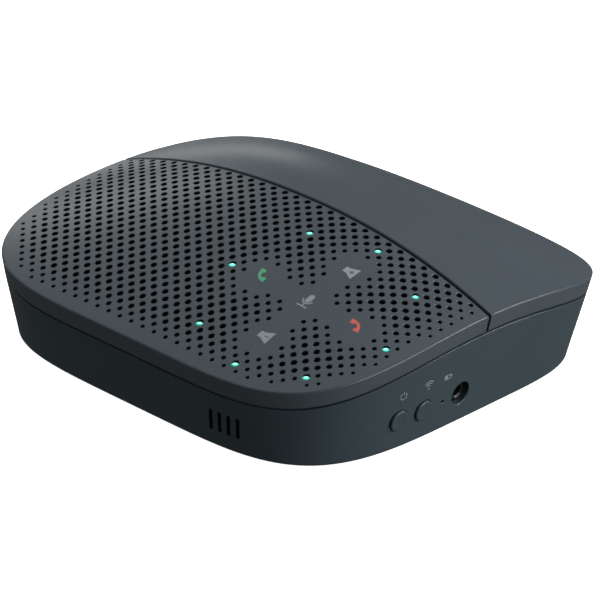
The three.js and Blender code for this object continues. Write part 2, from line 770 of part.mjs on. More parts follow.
// ---- Microphone ----

// A bar along Y behind the middle of the slots.
const micBar = (from, to, radius, sides) =>
  bar([MIC_X, from, MIC_Z], [MIC_X, to, MIC_Z], radius, sides);

// The rubber boot is a cup that opens towards the slots.
function micBoot() {
  const outside = micBar(MIC_FRONT, BOOT_BACK, BOOT_RADIUS, 24);
  const pocket = micBar(-FAR, BOOT_BACK - BOOT_FLOOR, MIC_RADIUS + CLEAR, 20);
  return geometryOf(cut(solidOf(outside), pocket));
}

function microphone() {
  const back = BOOT_BACK - BOOT_FLOOR - CLEAR;
  return micBar(back - MIC_DEPTH, back, MIC_RADIUS, 20);
}

// ---- Charging socket ----

function chargingSocket() {
  const halfWidth = CHARGE_WIDTH / 2;
  const halfHeight = CHARGE_HEIGHT / 2;
  const shell = block(
    [CHARGE_X - halfWidth, CHARGE_FRONT, CHARGE_Z - halfHeight],
    [CHARGE_X + halfWidth, CHARGE_BACK, CHARGE_Z + halfHeight],
  );
  const mouth = block(
    [CHARGE_X - halfWidth + CHARGE_WALL, CHARGE_FRONT + CHARGE_FLOOR, CHARGE_Z - halfHeight + CHARGE_WALL],
    [CHARGE_X + halfWidth - CHARGE_WALL, FAR, CHARGE_Z + halfHeight - CHARGE_WALL],
  );
  const tongue = block(
    [CHARGE_X - TONGUE_HALF_WIDTH, CHARGE_FRONT + CHARGE_FLOOR / 2, CHARGE_Z - TONGUE_HALF_HEIGHT],
    [CHARGE_X + TONGUE_HALF_WIDTH, CHARGE_BACK - 1, CHARGE_Z + TONGUE_HALF_HEIGHT],
  );
  return geometryOf(cut(solidOf(shell), mouth).add(solidOf(tongue)));
}

function rearBoard() {
  const high = CHARGE_Z - CHARGE_HEIGHT / 2 - CLEAR;
  return block(
    [CHARGE_X - REAR_BOARD_HALF_WIDTH, REAR_BOARD_FRONT, high - BOARD],
    [CHARGE_X + REAR_BOARD_HALF_WIDTH, REAR_BOARD_BACK, high],
  );
}

// ---- Assembly ----

addPiece("base_shell", baseShell(), basePlastic);
addPiece("top_grille", topGrille(), casingPlastic);
addPiece("grille_cloth", grilleCloth(), blackCloth);
addPiece("rear_cover", rearCover(), casingPlastic);
addPiece("slot_tray", slotTray(), innerPlastic);
addPiece("slot_pad", slotPad(), rubber);
addSlide("left", -RAIL_X);
addSlide("right", RAIL_X);
addFeet();
addScrews();
addPiece("speaker_baffle", speakerBaffle(), innerPlastic);
addSpeaker();
addPiece("touch_board", touchBoard(), board);
addLightGuides();
addPiece("main_board", mainBoard(), board);
addPiece("battery_pack", batteryPack(), cellWrap);
addPiece("side_board", sideBoard(), board);
addButton("power", POWER_Y);
addButton("pairing", PAIRING_Y);
addPiece("headset_socket", headsetSocket(), blackPart);
addPiece("status_light_guide", statusLightGuide(), clearGuide);
addPiece("mic_boot", micBoot(), rubber);
addPiece("microphone", microphone(), steel);
addPiece("charging_socket", chargingSocket(), steel);
addPiece("rear_board", rearBoard(), board);

export default speakerphone;
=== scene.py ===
"""Looks of the conference speakerphone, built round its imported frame.

Shapes are worked out in millimetres and become metres in Skin.piece().
"""
import json
import math

import bmesh
import bpy
import numpy as np
from mathutils import Euler, Matrix, Vector, geometry


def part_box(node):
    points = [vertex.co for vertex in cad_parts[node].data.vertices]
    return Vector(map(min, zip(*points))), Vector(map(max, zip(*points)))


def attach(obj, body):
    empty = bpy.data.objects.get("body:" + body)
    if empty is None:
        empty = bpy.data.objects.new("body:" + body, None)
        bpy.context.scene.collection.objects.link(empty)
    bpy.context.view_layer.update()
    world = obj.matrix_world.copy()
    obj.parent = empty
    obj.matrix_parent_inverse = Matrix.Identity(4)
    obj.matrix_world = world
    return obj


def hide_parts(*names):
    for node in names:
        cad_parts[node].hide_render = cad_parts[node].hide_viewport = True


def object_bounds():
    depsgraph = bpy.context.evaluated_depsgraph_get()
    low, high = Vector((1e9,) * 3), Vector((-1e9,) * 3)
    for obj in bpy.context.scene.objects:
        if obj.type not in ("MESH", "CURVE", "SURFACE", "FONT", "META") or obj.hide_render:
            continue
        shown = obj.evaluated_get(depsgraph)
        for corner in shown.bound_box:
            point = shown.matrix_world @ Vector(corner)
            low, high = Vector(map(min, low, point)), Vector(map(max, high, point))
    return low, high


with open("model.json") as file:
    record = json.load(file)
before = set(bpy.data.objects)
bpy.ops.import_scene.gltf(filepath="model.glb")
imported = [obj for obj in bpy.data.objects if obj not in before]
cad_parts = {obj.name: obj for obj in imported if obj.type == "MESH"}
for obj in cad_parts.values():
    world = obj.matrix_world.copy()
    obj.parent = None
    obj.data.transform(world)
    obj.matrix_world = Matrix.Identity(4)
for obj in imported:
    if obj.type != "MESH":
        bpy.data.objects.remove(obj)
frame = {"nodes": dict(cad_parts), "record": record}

CAD_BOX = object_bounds()
MM = 0.001
LOW, HIGH = (np.array(corner) / MM for corner in CAD_BOX)


def middle(node):
    """Centre of a CAD node's box, in millimetres."""
    low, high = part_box(node)
    return np.array((low + high) / 2) / MM


def node_low(node):
    return np.array(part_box(node)[0]) / MM


def node_high(node):
    return np.array(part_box(node)[1]) / MM


def node_radius(node):
    return (node_high(node)[0] - node_low(node)[0]) / 2


# ---- Dimensions of the casing: two half superellipses in plan, with a crowned top ----

WIDEST_Y = 12.75
HALF_WIDTH = HIGH[0]
FRONT_DEPTH = WIDEST_Y - LOW[1]
REAR_DEPTH = HIGH[1] - WIDEST_Y
PLAN_POWER = 4.5

PEAK_Z = HIGH[2]
FRONT_FALL, FRONT_BEND = 24.5, 0.4
REAR_FALL, REAR_BEND = 22.2, 0.85
SIDE_PEAK_Z, SIDE_PEAK_Y = 37.25, 2.7
SIDE_FRONT_FALL, SIDE_REAR_FALL = 15.5, 8.8
SIDE_CURVE = 2.2

SKIRT_HEIGHT = 5.7
SKIRT_INSET = 0.9
SKIRT_WALL = 2.0
SKIRT_FOOT_ROUND = 0.35
TOP_WALL = 2.2
RIM_ROUND = 0.55
GAP_WALL = 0.62
INNER_TOP = 1.8
SEAM = 0.7
GRILLE_BACK = node_high("top_grille")[1]
COVER_FRONT = node_low("rear_cover")[1]

BASE_Z = node_low("base_shell")[2]
BASE_WALL = 2.2
BASE_TAPER = 3.9
BASE_TOP_ROUND = 0.3
FOOT_EDGE = 1.9
FLOOR_TOP = BASE_Z + 2.0
CLEAR = 0.3

# ---- The grille's holes, on every other place of a square grid about the light ring ----

GRID = 2.404
RING_X, RING_Y = 38.2, -36.4
LIGHTS = [(13, 0), (9, 10), (0, 13), (-9, 10), (-13, 0), (-9, -10), (0, -13), (9, -10)]
COLUMNS, ROWS = range(-50, 20), range(-20, 18)
SIGN_PLACE, SIGN_BLANK, CROSS_HALF = 8, 2.5, 1.5
HOLE_RADIUS = 1.04
LIGHT_HOLE_RADIUS = 1.28
EDGE_HOLE_RADIUS = 0.6
EDGE_MARGIN = 3.3
EDGE_FADE = 8.0
GAP_MARGIN = 1.7
SMALLEST_SHARE, SHARE_GROWTH = 0.76, 0.05
HOLE_CHAMFER = 0.1
HOLE_SIDES = 14
GUIDE_CLEAR, GUIDE_DEPTH = 0.08, 0.12

CROWDING = 0.4
BISECTIONS = 50


def plan_point(angle, inset):
    """The plan's outline in a direction from the middle of the widest line, moved in by an inset."""
    across, along = np.cos(angle), np.sin(angle)
    depth = np.where(along < 0, FRONT_DEPTH, REAR_DEPTH) - inset
    share = (np.abs(across) / (HALF_WIDTH - inset)) ** PLAN_POWER
    radius = (share + (np.abs(along) / depth) ** PLAN_POWER) ** (-1 / PLAN_POWER)
    return radius * across, WIDEST_Y + radius * along


def fall(way, bend):
    """A fall that starts level and turns straight, from 0 to 1."""
    return (np.hypot(1, way / bend) - 1) / (math.hypot(1, 1 / bend) - 1)


def ahead(y, start):
    return np.maximum(0, start - y) / FRONT_DEPTH


def behind(y, start):
    return np.maximum(0, y - start) / REAR_DEPTH


def crown(x, y):
    """Height of the top surface."""
    spine = PEAK_Z - FRONT_FALL * fall(ahead(y, WIDEST_Y), FRONT_BEND)
    spine = spine - REAR_FALL * fall(behind(y, WIDEST_Y), REAR_BEND)
    side = SIDE_PEAK_Z - SIDE_FRONT_FALL * ahead(y, SIDE_PEAK_Y) ** 2
    side = side - SIDE_REAR_FALL * behind(y, SIDE_PEAK_Y) ** 2
    outward = (np.abs(x) / HALF_WIDTH) ** SIDE_CURVE
    return spine * (1 - outward) + side * outward


def crown_normal(x, y):
    step = 0.05
    slope_x = (crown(x + step, y) - crown(x - step, y)) / (2 * step)
    slope_y = (crown(x, y + step) - crown(x, y - step)) / (2 * step)
    normal = np.stack([-slope_x, -slope_y, np.ones_like(slope_x)], -1)
    return normal / np.linalg.norm(normal, axis=-1, keepdims=True)


def rim_height(angle):
    return crown(*plan_point(angle, 0))


def base_inset(angle, z):
    """Inset of the lower casing's outside at a height."""
    high = rim_height(angle) - SKIRT_HEIGHT
    return SKIRT_INSET + BASE_TAPER * (high - z) / (high - BASE_Z - FOOT_EDGE)


def crowded(angle):
    """Directions moved towards the plan's corners, where it bends most."""
    gather = lambda value: np.sign(value) * np.abs(value) ** CROWDING
    return np.arctan2(gather(np.sin(angle)), gather(np.cos(angle)))


def crowded_angles(count):
    """Directions round the plan from -180 degrees, closer together at the corners."""
    even = np.arange(count) * 2 * math.pi / count - math.pi
    return (even + crowded(even)) / 2


# ---- Meshes ----

SHARP_ANGLE = math.radians(32)


class Skin:
    """The points and faces of one piece."""

    def __init__(self):
        self.points = []
        self.faces = []
        self.shaded = {}
        self.dark = []

    def ring(self, x, y, z):
        """Adds points and returns their numbers."""
        x, y, z = np.broadcast_arrays(x, y, z)
        first = len(self.points)
        self.points.extend(zip(x.tolist(), y.tolist(), z.tolist()))
        return np.arange(first, len(self.points))

    def bridge(self, a, b):
        """Joins two closed rings with four-sided faces."""
        for i in range(len(a)):
            j = (i + 1) % len(a)
            self.faces.append((a[i], a[j], b[j], b[i]))

    def tower(self, rings):
        for a, b in zip(rings, rings[1:]):
            self.bridge(a, b)

    def solid(self, rings):
        """A tower closed at both ends."""
        self.tower(rings)
        self.cap(rings[0])
        self.cap(rings[-1])

    def painted_shade_tower(self, rings):
        """A tower in the piece's second material; on the grille this is the near-black painted shade
        of the hole bores.
        """
        first = len(self.faces)
        self.tower(rings)
        self.dark.extend(range(first, len(self.faces)))

    def cap(self, ids):
        self.faces.append(tuple(ids))

    def fill(self, ids, flat, loops, normals=None):
        """Fills the outline, the first loop, with triangles and leaves the other loops open.

        flat holds every point's place in a plane; a loop is a list of positions in ids.
        """
        edges = [(a, b) for loop in loops for a, b in zip(loop, [*loop[1:], loop[0]])]
        spots = [Vector(place) for place in flat.tolist()]
        made = geometry.delaunay_2d_cdt(spots, edges, [], 1, 1e-7)
        owner = {}
        for number, loop in enumerate(loops[1:]):
            owner.update(dict.fromkeys(loop, number))
        holes = [flat[loop] for loop in loops[1:]]
        for face in made[2]:
            corners = [made[3][v][0] for v in face]
            owners = {owner.get(c) for c in corners}
            if len(owners) == 1 and None not in owners:
                if inside(flat[corners].mean(0), holes[owners.pop()]):
                    continue
            if normals is not None:
                self.shaded[len(self.faces)] = normals[corners]
            self.faces.append(tuple(ids[c] for c in corners))

    def piece(self, name, material, body="casing", slot=None, replaces=(), second=None):
        """Makes the Blender object, shaded by the given normals and smooth elsewhere."""
        mesh = bpy.data.meshes.new(name)
        points = [[c * MM for c in point] for point in self.points]
        mesh.from_pydata(points, [], [[int(v) for v in face] for face in self.faces])
        turn_outward(mesh)
        mesh.polygons.foreach_set("use_smooth", np.ones(len(mesh.polygons), bool))
        mesh.set_sharp_from_angle(angle=SHARP_ANGLE)
        if self.shaded:
            mesh.normals_split_custom_set(self.loop_normals(mesh))
        mesh.materials.append(material)
        if second:
            mesh.materials.append(second)
            for number in self.dark:
                mesh.polygons[number].material_index = 1
        made = bpy.data.objects.new(name, mesh)
        bpy.context.scene.collection.objects.link(made)
        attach(made, body)
        if replaces:
            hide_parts(*replaces)
        return made

    def loop_normals(self, mesh):
        """Given normals on the shaded faces; zero leaves Blender's own."""
        normals = np.zeros((len(mesh.loops), 3))
        for number, given in self.shaded.items():
            by_point = dict(zip(self.faces[number], given))
            for corner in mesh.polygons[number].loop_indices:
                normals[corner] = by_point[mesh.loops[corner].vertex_index]
        return normals


def turn_outward(mesh):
    made = bmesh.new()
    made.from_mesh(mesh)
    bmesh.ops.recalc_face_normals(made, faces=made.faces)
    made.to_mesh(mesh)
    made.free()


def with_holes(ids, outline, holes):
    """Point numbers, flat places and loops of an outline and its holes, as Skin.fill takes them."""
    all_ids, flat = [ids], [outline]
    loops = [list(range(len(outline)))]
    for hole_ids, places in holes:
        first = sum(map(len, all_ids))
        loops.append(list(range(first, first + len(places))))
        all_ids.append(hole_ids)
        flat.append(places)
    return np.concatenate(all_ids), np.concatenate(flat), loops


def inside(point, polygon):
    """True if a point is inside a polygon of the plane."""
    x, y = point
    x0, y0 = polygon[:, 0], polygon[:, 1]
    x1, y1 = np.roll(x0, -1), np.roll(y0, -1)
    crosses = (y0 > y) != (y1 > y)
    with np.errstate(divide="ignore", invalid="ignore"):
        at = x0 + (y - y0) * (x1 - x0) / (y1 - y0)
    return bool(np.sum(crosses & (x < at)) % 2)


def circle(radius, sides):
    turn = np.arange(sides) * 2 * math.pi / sides
    return np.stack([radius * np.cos(turn), radius * np.sin(turn)], 1)


def bezier(start, corner, end, steps):
    """Points of a rounded corner, without the first."""
    t = np.linspace(0, 1, steps + 1)[1:]
    return [(1 - u) ** 2 * start + 2 * u * (1 - u) * corner + u * u * end for u in t]


# ---- Upper casings ----

OUTLINE_STEPS = 200
GAP_STEPS = 48
ROUND_STEPS = 5
FOOT_STEPS = 3
RIM_STEPS = 1440


class Half:
    """The grille or the rear cover: the part of the plan on one side of its edge at the gap."""

    def __init__(self, gap_y, front):
        self.gap_y = gap_y
        self.sign = -1 if front else 1

    def corner_angle(self, edge_in, gap_in):
        """Direction, on the right, of the corner between the outline and the gap."""
        wanted = self.gap_y + self.sign * gap_in
        low, high = -math.pi / 2, math.pi / 2
        for _ in range(BISECTIONS):
            angle = (low + high) / 2
            if plan_point(angle, edge_in)[1] < wanted:
                low = angle
            else:
                high = angle
        return low

    def loop(self, edge_in, gap_in):
        """The closed outline at two insets: along the rim, then back along the gap.

        The third row is the rim's height, and along the gap the height where the rim meets it.
        """
        start = self.corner_angle(edge_in, gap_in)
        end = self.sign * math.pi - start
        even = start + (end - start) * np.linspace(0, 1, OUTLINE_STEPS)
        dense = crowded(even)
        past_half_turn = dense * self.sign < start * self.sign - 1
        dense = np.where(past_half_turn, dense + self.sign * 2 * math.pi, dense)
        angle = start + (dense - dense[0]) * (end - start) / (dense[-1] - dense[0])
        angle = (angle + even) / 2
        x, y = plan_point(angle, edge_in)
        line = np.linspace(x[-1], x[0], GAP_STEPS + 1)[1:-1]
        rim = rim_height(angle)
        gap_rim = np.full(len(line), rim[0])
        along_gap = np.full(len(line), self.gap_y + self.sign * gap_in)
        return np.append(x, line), np.append(y, along_gap), np.append(rim, gap_rim)

    def under_crown(self, edge_in, gap_in, drop=0):
        """One ring of points, straight below the crown."""
        x, y, _ = self.loop(edge_in, gap_in)
        return np.stack([x, y, crown(x, y) - drop], 1)

    def under_rim(self, edge_in, gap_in, drop):
        """One ring of points, measured down from the rim."""
        x, y, rim = self.loop(edge_in, gap_in)
        return np.stack([x, y, rim - drop], 1)


def build_sides(skin, half):
    """The rounded rim, the skirt and the inside of the wall, as rings from the top surface down."""
    draft = SKIRT_INSET / SKIRT_HEIGHT
    top = half.under_crown(RIM_ROUND, RIM_ROUND)
    corner = half.under_crown(0, 0)
    below = half.under_crown(draft * RIM_ROUND, 0)
    below[:, 2] = corner[:, 2] - RIM_ROUND
    straight = SKIRT_HEIGHT - SKIRT_FOOT_ROUND
    above_foot = half.under_rim(draft * straight, 0, straight)
    foot_corner = half.under_rim(SKIRT_INSET, 0, SKIRT_HEIGHT)
    foot_inner = half.under_rim(SKIRT_INSET + SKIRT_FOOT_ROUND, SKIRT_FOOT_ROUND, SKIRT_HEIGHT)
    inner_low = half.under_rim(SKIRT_INSET + SKIRT_WALL, GAP_WALL, SKIRT_HEIGHT)
    inner_top = half.under_crown(INNER_TOP, GAP_WALL, TOP_WALL)
    rows = [
        top,
        *bezier(top, corner, below, ROUND_STEPS),
        *[below + (above_foot - below) * share for share in (0.25, 0.5, 0.75)],
        above_foot,
        *bezier(above_foot, foot_corner, foot_inner, FOOT_STEPS),
        inner_low,
        inner_top,
    ]
    rings = [skin.ring(*row.T) for row in rows]
    skin.tower(rings)
    return rings[0], rings[-1], top, inner_top


def grid_point(i, j):
    """A place of the grille, counted from the middle of the light ring."""
    return RING_X + GRID * i, RING_Y + GRID * j


def missing(i, j):
    """True for the blank places: a disc round each outer sign, and the cross between them."""
    near, far = sorted((abs(i), abs(j)))
    round_sign = math.hypot(near, far - SIGN_PLACE) < SIGN_BLANK
    on_cross = near < CROSS_HALF and far < SIGN_PLACE
    return round_sign or on_cross


def grille_places():
    """Centre and radius of every hole: small at the rim and at the signs, wide between them."""
    places = [(i, j) for i in COLUMNS for j in ROWS if (i + j) % 2]
    blanks = np.array([grid_point(i, j) for i, j in places if missing(i, j)])
    turn = np.linspace(-math.pi, math.pi, RIM_STEPS + 1)
    rim = np.stack(plan_point(turn, 0), 1)
    rim_radius = np.hypot(rim[:, 0], rim[:, 1] - WIDEST_Y)
    found = []
    for i, j in places:
        x, y = grid_point(i, j)
        reach = np.interp(math.atan2(y - WIDEST_Y, x), turn, rim_radius)
        edge = np.hypot(rim[:, 0] - x, rim[:, 1] - y).min()
        outside = math.hypot(x, y - WIDEST_Y) > reach
        if outside or missing(i, j) or edge < EDGE_MARGIN or y > GRILLE_BACK - GAP_MARGIN:
            continue
        growth = min(1, (edge - EDGE_MARGIN) / EDGE_FADE)
        radius = EDGE_HOLE_RADIUS + (HOLE_RADIUS - EDGE_HOLE_RADIUS) * growth
        blank = np.hypot(blanks[:, 0] - x, blanks[:, 1] - y).min()
        share = min(1, SMALLEST_SHARE + SHARE_GROWTH * (blank - GRID * math.sqrt(2)))
        found.append((x, y, LIGHT_HOLE_RADIUS if (i, j) in LIGHTS else radius * share))
    return found


def filler_points(half, step, margin, keep_off=()):
    """Spare points inside a half, for curvature where there are no holes."""
    x, y, _ = half.loop(margin, margin)
    outline = np.stack([x, y], 1)
    keep_off = np.array(keep_off)
    columns, rows = (np.arange(row.min() + step / 2, row.max(), step) for row in (x, y))
    kept = []
    for spot in [(a, b) for a in columns for b in rows]:
        if not inside(spot, outline):
            continue
        if len(keep_off) and np.hypot(*(keep_off[:, :2] - spot).T).min() < step * 0.8:
            continue
        kept.append(spot)
    return np.array(kept)


def crown_skin(skin, outline_ids, outline, holes, spare, drop):
    """Fills the crowned surface, lowered by drop, between an outline and rings of holes."""
    ids, flat, loops = with_holes(outline_ids, outline[:, :2], holes)
    ids = np.append(ids, skin.ring(*spare.T, crown(*spare.T) - drop))
    flat = np.concatenate([flat, spare])
    skin.fill(ids, flat, loops, crown_normal(*flat.T) * (-1 if drop else 1))


def build_grille(material, bore_shade_material):
    """The front casing with every hole cut through it; the bores below each chamfer get a near-black
    second material as painted shade.
    """
    skin = Skin()
    half = Half(GRILLE_BACK, front=True)
    top_ids, under_ids, top, under = build_sides(skin, half)
    upper, lower = [], []
    places = grille_places()
    for x, y, radius in places:
        wide = circle(radius + HOLE_CHAMFER, HOLE_SIDES) + (x, y)
        bore = circle(radius, HOLE_SIDES) + (x, y)
        rim = skin.ring(*wide.T, crown(*wide.T))
        throat = skin.ring(*bore.T, crown(*bore.T) - HOLE_CHAMFER)
        exit_ring = skin.ring(*bore.T, crown(*bore.T) - TOP_WALL)
        skin.tower([rim, throat])
        # Painted shade: the bore below the chamfer takes the near-black second material, so the hole
        # reads dark.
        skin.painted_shade_tower([throat, exit_ring])
        upper.append((rim, wide))
        lower.append((exit_ring, bore))
    spare = filler_points(half, step=2.6, margin=1.7, keep_off=places)
    crown_skin(skin, top_ids, top, upper, spare, 0)
    inner = spare[[inside(spot, under[:, :2]) for spot in spare]]
    crown_skin(skin, under_ids, under, lower, inner, TOP_WALL)
    skin.piece(
        "grille_shell", material, slot="casing", replaces=["top_grille"], second=bore_shade_material
    )


def build_cover(material):
    """The rear casing: the same crown with no holes."""
    skin = Skin()
    half = Half(COVER_FRONT, front=False)
    top_ids, under_ids, top, under = build_sides(skin, half)
    crown_skin(skin, top_ids, top, [], filler_points(half, step=3.0, margin=2.0), 0)
    crown_skin(skin, under_ids, under, [], filler_points(half, step=5.0, margin=5.0), TOP_WALL)
    skin.piece("cover_shell", material, "stand_cover", "casing", ["rear_cover"])


# ---- Lower casing ----

FEET = [f"foot_{end}_{side}" for end in ("front", "rear") for side in ("left", "right")]
SCREWS = [f"screw_{number}" for number in range(1, 5)]
WALL_COLUMNS = 216
WALL_ROWS = 4
FOOT_EDGE_STEPS = 7
WALL_LOW = BASE_Z + FOOT_EDGE
LIP_INSET, LIP_WALL, LIP_RISE, LIP_ROOT = 3.3, 0.9, 2.0, 1.0
DRAWING_HEIGHT = 20.0
DRAWING_LEVEL = 10.0
MOUTH_MARGIN = 0.7
CONTROL_Z = 12.1
POWER_Y = -32.8
PAIRING_Y = -22.3
STATUS_Y = -13.5
HEADSET_Y = -5.1
BUTTON_RADIUS, BUTTON_PROUD = 3.5, 0.7
HEADSET_RECESS = 4.0
STATUS_RADIUS = 0.6
SLOT_X, SLOT_PITCH, SLOT_COUNT = 33.5, 3.26, 4
SLOT_WIDTH, SLOT_LOW, SLOT_HIGH = 1.3, 6.7, 14.6
PORT_WIDTH, PORT_HEIGHT, PORT_CORNER = 8.0, 3.4, 1.0
SCREW_HEAD = 1.5
BOSS_TOP, BOSS_RADIUS, BORE_RADIUS = 6.0, 4.0, 1.4
POCKET_SIDES, BOSS_SIDES = 40, 28


def wall_top(angle):
    return rim_height(angle) - SKIRT_HEIGHT - SEAM


def on_wall(angle, z, inward=0):
    """A point of the lower casing's outside, or further inward."""
    x, y = plan_point(angle, base_inset(angle, z) + inward)
    return np.stack(np.broadcast_arrays(x, y, z), -1)


def wall_angle(axis, value, z, low, high):
    """The direction, between two others, where the wall at height z has x or y equal to value."""
    value, z = np.broadcast_arrays(np.asarray(value, float), z)
    low, high = np.full(value.shape, float(low)), np.full(value.shape, float(high))
    for _ in range(BISECTIONS):
        angle = (low + high) / 2
        short = on_wall(angle, z)[..., axis] < value
        low, high = np.where(short, angle, low), np.where(short, high, angle)
    return low


def side_angle(y, z):
    return wall_angle(1, y, z, -math.pi / 2, math.pi / 2)


def front_angle(x, z):
    return wall_angle(0, x, z, -math.pi, 0)


def rear_angle(x, z):
    return wall_angle(0, x, z, math.pi, 0)


def wall_frame(angle, z):
    """Place, outward direction, level direction and upward direction of the wall at a point."""
    place = on_wall(angle, z)
    level = on_wall(angle + 0.01, z) - on_wall(angle - 0.01, z)
    up = on_wall(angle, z + 1) - on_wall(angle, z - 1)
    out = np.cross(level, up)
    unit = lambda v: v / np.linalg.norm(v)
    return place, unit(out), unit(level), unit(up)


class WallHole:
    """A hole through the lower casing's wall, from its outline in the wall's own plane."""

    def __init__(self, finder, axis, value, z, outline, chamfer):
        self.place, self.out, self.level, self.up = wall_frame(finder(value, z), z)
        self.outline = outline
        self.chamfer = chamfer
        wide = self.spots(outline * (1 + chamfer / np.abs(outline).max(0)))
        self.mouth = finder(wide[:, axis], wide[:, 2]), wide[:, 2]

    def spots(self, outline):
        return self.place + outline[:, :1] * self.level + outline[:, 1:] * self.up

    def bore(self, skin):
        """Adds the chamfered bore and returns the rings at its outer and inner end."""
        mouth = skin.ring(*on_wall(*self.mouth).T)
        throat_spots = self.spots(self.outline) - self.out * self.chamfer
        throat = skin.ring(*throat_spots.T)
        back = skin.ring(*(throat_spots - self.out * (BASE_WALL - self.chamfer)).T)
        skin.tower([mouth, throat, back])
        return mouth, back


def slot_outline(width, height, sides=6):
    """An upright slot with round ends."""
    turn = np.linspace(0, math.pi, sides + 1)
    arc = np.stack([np.cos(turn), np.sin(turn)], 1) * width / 2
    rise = np.array([0, (height - width) / 2])
    return np.concatenate([arc + rise, -arc - rise])


def round_box(width, height, corner, sides=4):
    """A rectangle with round corners, anticlockwise."""
    points = []
    for quarter in range(4):
        turn = math.pi / 2 * (quarter + np.linspace(0, 1, sides + 1))
        sign = np.sign([math.cos(turn[2]), math.sin(turn[2])])
        centre = sign * (width / 2 - corner, height / 2 - corner)
        points.append(np.stack([np.cos(turn), np.sin(turn)], 1) * corner + centre)
    return np.concatenate(points)


def wall_holes():
    """Holes for the keys, the headset socket and the status light, four slots, and the port."""
    key = circle(BUTTON_RADIUS + CLEAR, 40)
    recess = circle(HEADSET_RECESS, 44)
    status = circle(STATUS_RADIUS + 0.1, 16)
    row = [(POWER_Y, key, 0.15), (PAIRING_Y, key, 0.15)]
    row += [(HEADSET_Y, recess, 0.15), (STATUS_Y, status, 0.1)]
    holes = [WallHole(side_angle, 1, y, CONTROL_Z, *shape) for y, *shape in row]
    slot = slot_outline(SLOT_WIDTH, SLOT_HIGH - SLOT_LOW)
    for i in range(SLOT_COUNT):
        x = SLOT_X + i * SLOT_PITCH
        holes.append(WallHole(front_angle, 0, x, (SLOT_HIGH + SLOT_LOW) / 2, slot, 0.12))
    socket = middle("charging_socket")
    port = round_box(PORT_WIDTH + 2 * CLEAR, PORT_HEIGHT + 2 * CLEAR, PORT_CORNER)
    holes.append(WallHole(rear_angle, 0, socket[0], socket[2], port, 0.2))
    return holes


class WallDrawing:
    """The lower casing's wall laid flat: distance round the wall, and height as a share."""

    def __init__(self, holes):
        self.angles = crowded_angles(WALL_COLUMNS)
        self.turn = np.append(self.angles, math.pi)
        steps = np.diff(on_wall(self.turn, DRAWING_LEVEL)[:, :2], axis=0)
        self.round = np.concatenate([[0], np.cumsum(np.hypot(*steps.T))])
        self.mouths = [self.flat(*hole.mouth) for hole in holes]

    def flat(self, angle, z):
        share = (z - WALL_LOW) / (wall_top(angle) - BASE_TOP_ROUND - WALL_LOW)
        return np.stack([np.interp(angle, self.turn, self.round), share * DRAWING_HEIGHT], -1)

    def is_clear(self, spot):
        """True for a place outside every mouth and not close to its edge."""
        return all(
            np.hypot(*(mouth - spot).T).min() > MOUTH_MARGIN and not inside(spot, mouth)
            for mouth in self.mouths
        )

    def fill(self, skin, inward, mouth_ids):
        """Fills one side of the wall round the mouths and returns its lowest and highest row."""
        rows, ids, flat = [], [], []
        rise = wall_top(self.angles) - BASE_TOP_ROUND - WALL_LOW
        for number, share in enumerate(np.linspace(0, 1, WALL_ROWS + 1)):
            row = on_wall(self.angles, WALL_LOW + share * rise, inward)
            height = number * DRAWING_HEIGHT / WALL_ROWS
            places = np.stack([self.round[:-1], np.full(len(row), height)], 1)
            clear = np.ones(len(row), bool)
            if 0 < number < WALL_ROWS:
                clear[1:] = [self.is_clear(spot) for spot in places[1:]]
            made = skin.ring(*row[clear].T)
            rows.append(made)
            ids.append(np.append(made, made[0]))
            flat.append(np.concatenate([places[clear], [[self.round[-1], height]]]))
        starts = np.cumsum([0] + [len(part) for part in ids])
        bottom = list(range(starts[0], starts[1]))
        top = list(range(starts[-2], starts[-1]))
        right = [starts[k + 1] - 1 for k in range(1, WALL_ROWS)]
        left = [starts[k] for k in range(1, WALL_ROWS)]
        holes = zip(mouth_ids, self.mouths)
        ids, flat, loops = with_holes(np.concatenate(ids), np.concatenate(flat), holes)
        loops[0] = bottom + right + top[::-1] + left[::-1]
        normals = None
        if not inward:
            turn = np.interp(flat[:, 0], self.round, self.turn)
            normals = np.array([wall_frame(angle, DRAWING_LEVEL)[1] for angle in turn])
        skin.fill(ids, flat, loops, normals)
        return rows[0], rows[-1]


def lip_rings(skin, angles):
    """The rounded upper edge, then the lip that stands up inside the skirt."""
    top_z = wall_top(angles)
    below = on_wall(angles, top_z - BASE_TOP_ROUND)
    beside = on_wall(angles, top_z, BASE_TOP_ROUND)
    rings = [skin.ring(*row.T) for row in bezier(below, on_wall(angles, top_z), beside, 3)]
    inner = LIP_INSET + LIP_WALL
    for inset, rise in ((LIP_INSET, 0), (LIP_INSET, LIP_RISE), (inner, LIP_RISE), (inner, -LIP_ROOT)):
        rings.append(skin.ring(*plan_point(angles, inset), top_z + rise))
    return rings


def foot_edge_rows(angles):
    """Rows of points down the rounded foot edge; the last one lies on the underside."""
    rows = []
    for turn in np.linspace(0, math.pi / 2, FOOT_EDGE_STEPS + 1)[1:]:
        inset = base_inset(angles, WALL_LOW) + FOOT_EDGE * (1 - math.cos(turn))
        row = *plan_point(angles, inset), WALL_LOW - FOOT_EDGE * math.sin(turn)
        rows.append(np.stack(np.broadcast_arrays(*row), 1))
    return rows


def foot_pocket(skin, name):
    """A round pocket for a rubber foot; returns its mouth in the underside."""
    mouth = circle(node_radius(name) + CLEAR, POCKET_SIDES) + middle(name)[:2]
    mouth_ids = skin.ring(*mouth.T, BASE_Z)
    end_ids = skin.ring(*mouth.T, node_high(name)[2] + CLEAR)
    skin.bridge(mouth_ids, end_ids)
    skin.cap(end_ids)
    return mouth_ids, mouth


